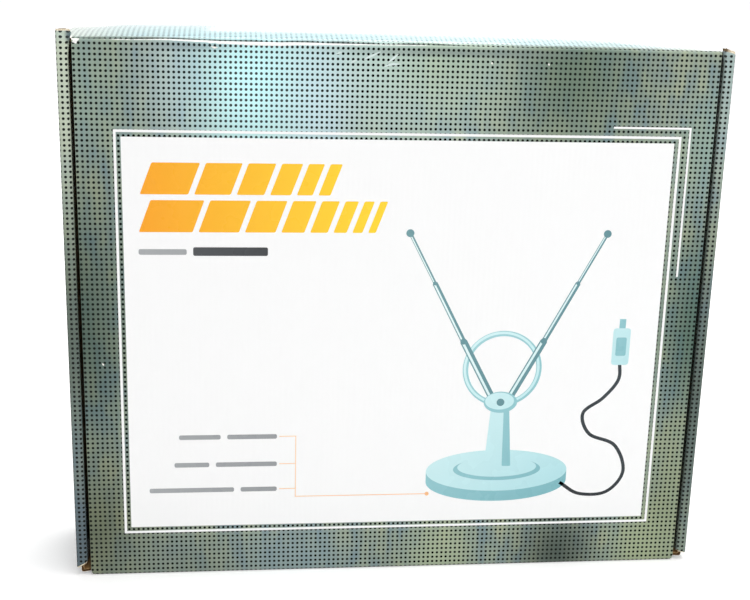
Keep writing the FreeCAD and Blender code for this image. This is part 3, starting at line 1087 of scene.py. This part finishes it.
highHalf = ellipse(footX, footZ, footW, footH, aerialSign["footPoints"], 0, 180)
addPlate(bm, lowHalf + highHalf, 0, middling)
addPlate(bm, ellipse(footX, footZ, footW, footH), 1, pale)
for level, (rise, shareW, shareH) in enumerate(aerialSign["footRings"]):
    ink = pale if level else middling
    addPlate(bm, ellipse(footX, footZ + rise, footW * shareW, footH * shareH), 2 + level, ink)
ringX, ringZ, ringR, ringW = aerialSign["ring"]
shift, share = aerialSign["ringGlint"]
addStroke(bm, ellipse(ringX, ringZ, ringR, ringR), ringW, 1, middling, True)
addStroke(bm, ellipse(ringX - shift, ringZ + shift, ringR, ringR), ringW * share, 2, pale, True)
wide, narrow, rise, high = aerialSign["mast"]
shadeWide, shadeNarrow = aerialSign["mastShade"]
mastCorner, shadeCorner = aerialSign["mastCorners"]
right = [(footX + wide, footZ + rise), (footX + narrow, high)]
mast = [(footX - wide, footZ + rise)] + right + [(footX - narrow, high)]
shade = [(footX + wide * shadeWide, footZ + rise)] + right + [(footX + narrow * shadeNarrow, high)]
addPlate(bm, roundedOutline(mast, mastCorner), 4, pale)
addPlate(bm, roundedOutline(shade, shadeCorner), 5, middling)
shift, share = aerialSign["rodGlint"]
for rod in aerialSign["rods"]:
    for a, b, width in zip(rod, rod[1:], aerialSign["rodWidths"]):
        a, b, joint = Vector(a), Vector(b), width * aerialSign["rodJoint"]
        across = Vector((-(b - a).y, (b - a).x)).normalized() * width * shift
        addStroke(bm, [a, b], width, 4, deep)
        addStroke(bm, [a + across, b + across], width * share, 5, glint)
        addPlate(bm, ellipse(a.x, a.y, joint, joint, dotPoints), 6, deep)
    addPlate(bm, ellipse(*rod[-1], *aerialSign["tip"], dotPoints), 6, deep)
knuckle, pin = aerialSign["knuckle"], aerialSign["knuckle"] * aerialSign["knucklePin"]
for level, (shiftX, shiftZ, shareW, shareH) in enumerate(aerialSign["knuckleRounds"]):
    ink = pale if level else middling
    addPlate(bm, ellipse(footX + shiftX, high + shiftZ, knuckle * shareW, knuckle * shareH), 7 + level, ink)
addPlate(bm, ellipse(footX, high, pin, pin, dotPoints), 9, deep)
paleTeal = filmedInk("paleTealPrintInk", "#d9f4f5", "#b2dfe5", (25, 150), (115, 60))
midTeal = filmedInk("midTealPrintInk", "#a3d4da", "#7db6be", (25, 150), (115, 60))
deepTeal = filmedInk("deepTealPrintInk", "#6f9aa0", "#5a8890", (0, 200), (140, 120))
glintInk = filmedInk("glintPrintInk", "#eaf8f8", "#d4eef0", (0, 230), (140, 120))
aerialPlate = meshObject("aerialSign", bm, [paleTeal, midTeal, deepTeal, glintInk])

# the sign's lead with a small box at its end
leadSign = {
    "line": [(107, 57), (120, 49), (138, 50), (148, 64), (141, 82), (124, 90), (119, 104), (131, 114),
             (140, 126), (140, 138)],
    "width": 2.2,
    "box": (134.5, 136.0, 145.5, 160.0),
    "boxCorner": 2.2,
    "window": (136.7, 142.0, 143.3, 154.0),
    "windowCorner": 1.2,
    "plug": (138.0, 160.0, 142.0, 166.0),
}
bm = bmesh.new()
addStroke(bm, smoothLine(leadSign["line"]), leadSign["width"], 0, 0)
addPlate(bm, boxCorners(*leadSign["plug"]), 1, 2)
addPlate(bm, roundedOutline(boxCorners(*leadSign["box"]), leadSign["boxCorner"]), 2, 1)
addPlate(bm, roundedOutline(boxCorners(*leadSign["window"]), leadSign["windowCorner"]), 3, 2)
blackInk = filmedInk("blackPrintInk", "#23292d", "#343c41", (110, 60), (150, 100))
leadPlate = meshObject("leadSign", bm, [blackInk, paleTeal, midTeal])
print("inks laid")

# bare paper where the lid's film is chipped, and film that is dulled by scratches
scuffs = {
    "bare": [[(-110, 327.3), (-108.2, 326.6), (-106.2, 326.8)], [(46.6, 328.4), (47.6, 327.8)],
             [(49.6, 321.6), (50.2, 320.2)], [(-175.4, 139.6), (-174.4, 138.2)],
             [(83, 321.5), (83.6, 320.2)]],
    "dulled": [[(-24, 321.6), (-20, 323.6), (-14.6, 326.2)], [(-10, 320.4), (-7.2, 322.6), (-4.4, 325.2)],
               [(-31.6, 319.6), (-28, 321.4)], [(-12.4, 317.8), (-8, 319.2), (-3, 319.4)],
               [(-40, 324.4), (-36.6, 325.6)]],
    "width": {"bare": 0.85, "dulled": 1.0},
    "ends": 0.25,       # share of the width that the ends keep
    "steps": 5,
}
bm = bmesh.new()
for number, kind in enumerate(("bare", "dulled")):
    for stroke in scuffs[kind]:
        line = smoothLine(stroke, scuffs["steps"])
        swells = [math.sin(math.pi * k / (len(line) - 1)) for k in range(len(line))]
        addStroke(bm, line, [scuffs["width"][kind] * (scuffs["ends"] + swell) for swell in swells], 1, number)
dulledFilm = filmedInk("dulledFilm", "#cfdedb", "#dbe8e5", (-40, 318), (0, 328))
lidScuffs = meshObject("lidScuffs", bm, [whitePaper, dulledFilm])

# wavy paper in the cut edges that cross the flutes
fluteWave = {
    "pitch": board["flutePitch"] * mm,
    "height": 1.18 * mm,
    "depth": 1.0 * mm,
    "sheet": 0.16 * mm,
    "waveSteps": 8.0,
    "guideSteps": 24,
    "middle": 1.06,         # depth of the wave's middle under the printed face
    "inset": 0.2,
    "slotClear": 1.5,       # the front wall's waves end this far inside the ears
    "crestShare": 0.6,      # of a crest's width has waves that show
}


def fluteTree():
    tree = bpy.data.node_groups.new("fluteWave", "GeometryNodeTree")
    add = partial(addNode, tree)
    sockets = {}
    for name, kind in (("Guide", "Geometry"), ("Pitch", "Float"), ("Height", "Float"), ("Depth", "Float"),
                       ("Paper", "Material")):
        socket = tree.interface.new_socket(name, in_out="INPUT", socket_type="NodeSocket" + kind)
        sockets[name] = socket.identifier
    tree.interface.new_socket("Flutes", in_out="OUTPUT", socket_type="NodeSocketGeometry")
    given = add("NodeGroupInput").outputs
    curve = add("GeometryNodeMeshToCurve", None, {"Mesh": given["Guide"]})
    step = add("Math", "DIVIDE", {0: given["Pitch"], 1: fluteWave["waveSteps"]})
    fine = add("GeometryNodeResampleCurve", {"mode": "LENGTH"}, {"Curve": curve, "Length": step})
    along = add("GeometryNodeSplineParameter").outputs["Length"]
    waves = add("Math", "DIVIDE", {0: along, 1: given["Pitch"]})
    turns = add("Math", "MULTIPLY", {0: waves, 1: 2 * math.pi})
    swing = add("Math", "SINE", {0: turns})
    reach = add("Math", "MULTIPLY", {0: given["Height"], 1: 0.5})
    lift = add("Math", "MULTIPLY", {0: swing, 1: reach})
    normal, inward = (add("GeometryNodeInputNamedAttribute", {"data_type": "FLOAT_VECTOR"}, {"Name": name})
                      for name in ("sheetNormal", "inward"))
    offset = add("VectorMath", "SCALE", {0: normal, "Scale": lift})
    waved = add("GeometryNodeSetPosition", None, {"Geometry": fine, "Offset": offset})
    wire = add("GeometryNodeCurveToMesh", None, {"Curve": waved})
    ribbon = add("GeometryNodeExtrudeMesh", {"mode": "EDGES"},
                 {"Mesh": wire, "Offset": inward, "Offset Scale": given["Depth"]})
    real = add("GeometryNodeRealizeInstances", None, {0: ribbon})
    paper = add("GeometryNodeSetMaterial", None, {"Geometry": real, "Material": given["Paper"]})
    add("NodeGroupOutput", None, {0: paper})
    return tree, sockets


fluteNodes, fluteSockets = fluteTree()


def makeFlutes(name, guides):
    places, edges, normals, inwards = [], [], [], []
    for points, sideways, inward in guides:
        first = len(places)
        places += [Vector(p) * mm for p in points]
        normals += [Vector(n) for n in sideways]
        inwards += [Vector(inward)] * len(points)
        edges += [(first + k, first + k + 1) for k in range(len(points) - 1)]
    mesh = bpy.data.meshes.new(name)
    mesh.from_pydata(places, edges, [])
    for key, vectors in (("sheetNormal", normals), ("inward", inwards)):
        attribute = mesh.attributes.new(key, "FLOAT_VECTOR", "POINT")
        attribute.data.foreach_set("vector", [c for v in vectors for c in v])
    piece = placed(name, mesh)
    modifier = piece.modifiers.new("flutes", "NODES")
    modifier.node_group = fluteNodes
    for socket, setting in (("Pitch", fluteWave["pitch"]), ("Height", fluteWave["height"]),
                            ("Depth", fluteWave["depth"]), ("Paper", corePaper)):
        modifier[fluteSockets[socket]] = setting
    settle(piece)
    wall = piece.modifiers.new("paper", "SOLIDIFY")
    wall.thickness, wall.offset = fluteWave["sheet"], 0.0
    settle(piece)
    return piece


def straightGuide(start, end, normal, inward):
    start, end, inward = Vector(start), Vector(end), Vector(inward)
    shift = inward * fluteWave["inset"]
    count = fluteWave["guideSteps"]
    points = [start.lerp(end, k / count) + shift for k in range(count + 1)]
    return points, [normal] * len(points), inward


middle, inset = fluteWave["middle"], fluteWave["inset"]
flapReach = earIn - lidSheet["flapCorner"]
earTop = lidSheet["earTaper"] + lidSheet["earCorner"]
lidGuides = [straightGuide((-flapReach, flapBack, middle), (flapReach, flapBack, middle),
                           (0, 0, 1), (0, -1, 0))]
for way in (1, -1):
    earX = way * (lidEdge - middle)
    lidGuides.append(straightGuide((earX, lidSheet["earFront"] + earTop, earHeight),
                                   (earX, lidSheet["earBack"] - earTop, earHeight), (1, 0, 0), (0, 0, -1)))
trayGuides = []
for reach, z in ((wallReach, top - middle), (earIn - fluteWave["slotClear"], wallLow + middle)):
    trayGuides.append(straightGuide((-reach, wallFront, z), (reach, wallFront, z), (0, 0, 1), (0, 1, 0)))
for strip in rollStrips:
    outer, inner = strip["corners"][:4], strip["corners"][3:]
    outer[3] = Vector(outer[2]).lerp(Vector(outer[3]), fluteWave["crestShare"])
    for corners, high in ((outer, top), (inner, innerHigh)):
        path, _ = foldPath(corners, middle, strip["side"])
        path = [p for p, q in zip(path, path[1:]) if (q - p).length > hair] + [path[-1]]
        sideways = []
        for i in range(len(path)):
            way = (path[min(i + 1, len(path) - 1)] - path[max(i - 1, 0)]).normalized()
            sideways.append((-way.y, way.x, 0))
        tops = [rollSpan(p)[1] if high == top else high for p in path]
        lows = [rollSpan(p)[0] for p in path]
        trayGuides.append(([alongZ(*p, z - inset) for p, z in zip(path, tops)], sideways, (0, 0, -1)))
        trayGuides.append(([alongZ(*p, z + inset) for p, z in zip(path, lows)], sideways, (0, 0, 1)))
for points, _, _ in trayGuides:
    for p in points:
        p.z += wallShift(*p)
lidFlutes = makeFlutes("lidFlutes", lidGuides)
trayFlutes = makeFlutes("trayFlutes", trayGuides)
print("flutes set in the cut edges")

# the camera of the photograph, from its fitted place and turn
view = {
    "place": (-0.0998, -0.8708, 0.4364),
    "roll": -0.0396,
    "pitch": 0.3166,
    "yaw": 0.1416,
    "focalPixels": 1464.5,
    "shift": (-53.9, 29.5),     # in pixels of the photograph, which is cropped off centre
    "pictureWidth": 750,
    "sensor": 36.0,
    "clipStart": 0.01,
}
toCamera = (Matrix.Rotation(view["roll"], 3, "Z") @ Matrix.Rotation(view["pitch"], 3, "X")
            @ Matrix.Rotation(view["yaw"], 3, "Y"))
upright = Matrix(((1, 0, 0), (0, 0, -1), (0, 1, 0)))
camera = placed("photoCamera", bpy.data.cameras.new("photoCamera"))
camera.data.sensor_width = view["sensor"]
camera.data.sensor_fit = "HORIZONTAL"
camera.data.lens = view["focalPixels"] * view["sensor"] / view["pictureWidth"]
camera.data.shift_x, camera.data.shift_y = (offset / view["pictureWidth"] for offset in view["shift"])
camera.data.clip_start = view["clipStart"]
camera.matrix_world = Matrix.Translation(view["place"]) @ (upright @ toCamera.transposed()).to_4x4()
scene.camera = camera

# a white table, three soft lamps and an even room
studio = {
    "floorSize": 24.0,
    "floorColour": "#f2f2f2",
    "floorRoughness": 0.9,
    "nearLift": 0.30,
    "farLift": 0.55,
    "liftReach": (0.25, 1.1),
    "room": "#ffffff",
    "roomStrength": 0.46,
    "aim": (0, 0, 0.16),
    "lamps": [
        ("frontLamp", (0.4, -2.4, 1.3), (2.0, 1.4), 20.0),
        ("topLamp", (0.25, 0.05, 1.9), (1.4, 1.0), 27.0),
        ("backLamp", (0.45, 1.6, 0.55), (1.2, 0.6), 5.5),
    ],
}


# the rays that see the white of the table and the room, besides what lights the box
def seenRays(add):
    rays = add("LightPath").outputs
    direct = add("Math", "MAXIMUM", {0: rays["Is Camera Ray"], 1: rays["Is Glossy Ray"]})
    return add("Math", "MAXIMUM", {0: direct, 1: rays["Is Transmission Ray"]})


# matt white table top, paler further from the box
material, add, coords, place = newMaterial("whiteTable")
away = add("VectorMath", "LENGTH", {0: coords["Object"]})
near, far = studio["liftReach"]
lift = add("MapRange", softEdge, {0: away, 1: near, 2: far, 3: studio["nearLift"], 4: studio["farLift"]})
glow = add("Math", "MULTIPLY", {0: seenRays(add), 1: lift})
shader = add("BsdfPrincipled", None, {
    "Base Color": hexToLinear(studio["floorColour"]), "Roughness": studio["floorRoughness"],
    "Emission Color": hexToLinear(studio["room"]), "Emission Strength": glow})
add("OutputMaterial", None, {"Surface": shader})
bm = bmesh.new()
bmesh.ops.create_grid(bm, x_segments=1, y_segments=1, size=studio["floorSize"] / 2 / mm)
floor = meshObject("floor", bm, [material])

for name, place, size, power in studio["lamps"]:
    lamp = placed(name, bpy.data.lights.new(name, "AREA"))
    lamp.data.shape = "RECTANGLE"
    lamp.data.size, lamp.data.size_y = size
    lamp.data.energy = power
    lamp.visible_camera = False
    lamp.location = place
    lamp.rotation_euler = (Vector(studio["aim"]) - Vector(place)).to_track_quat("-Z", "Y").to_euler()

room = bpy.data.worlds.new("room")
room.use_nodes = True
add = partial(addNode, room.node_tree)
strength = add("MapRange", None, {0: seenRays(add), 1: 0.0, 2: 1.0, 3: studio["roomStrength"], 4: 1.0})
background = room.node_tree.nodes["Background"]
background.inputs["Color"].default_value = hexToLinear(studio["room"])
room.node_tree.links.new(strength.outputs[0], background.inputs["Strength"])
scene.world = room
print("camera and light set")

for piece in (lidTopSheet, lidBoard):
    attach(piece, "lid")
    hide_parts("lid")
for piece in (trayTopSheet, trayBoard):
    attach(piece, "tray")
    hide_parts("tray")
for piece in (stripeBand, wordlessBars, callouts, aerialPlate, leadPlate, lidScuffs, lidFlutes):
    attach(piece, "lid")
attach(trayFlutes, "tray")
# the fold's own arc turns with the lid, its two ends stay with the lid and the hinge wall
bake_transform(hingeCrease, "tray", "lid",
         start=(0, (front + 2.2) * mm, top * mm), end=(0, front * mm, (top - 2.2) * mm))
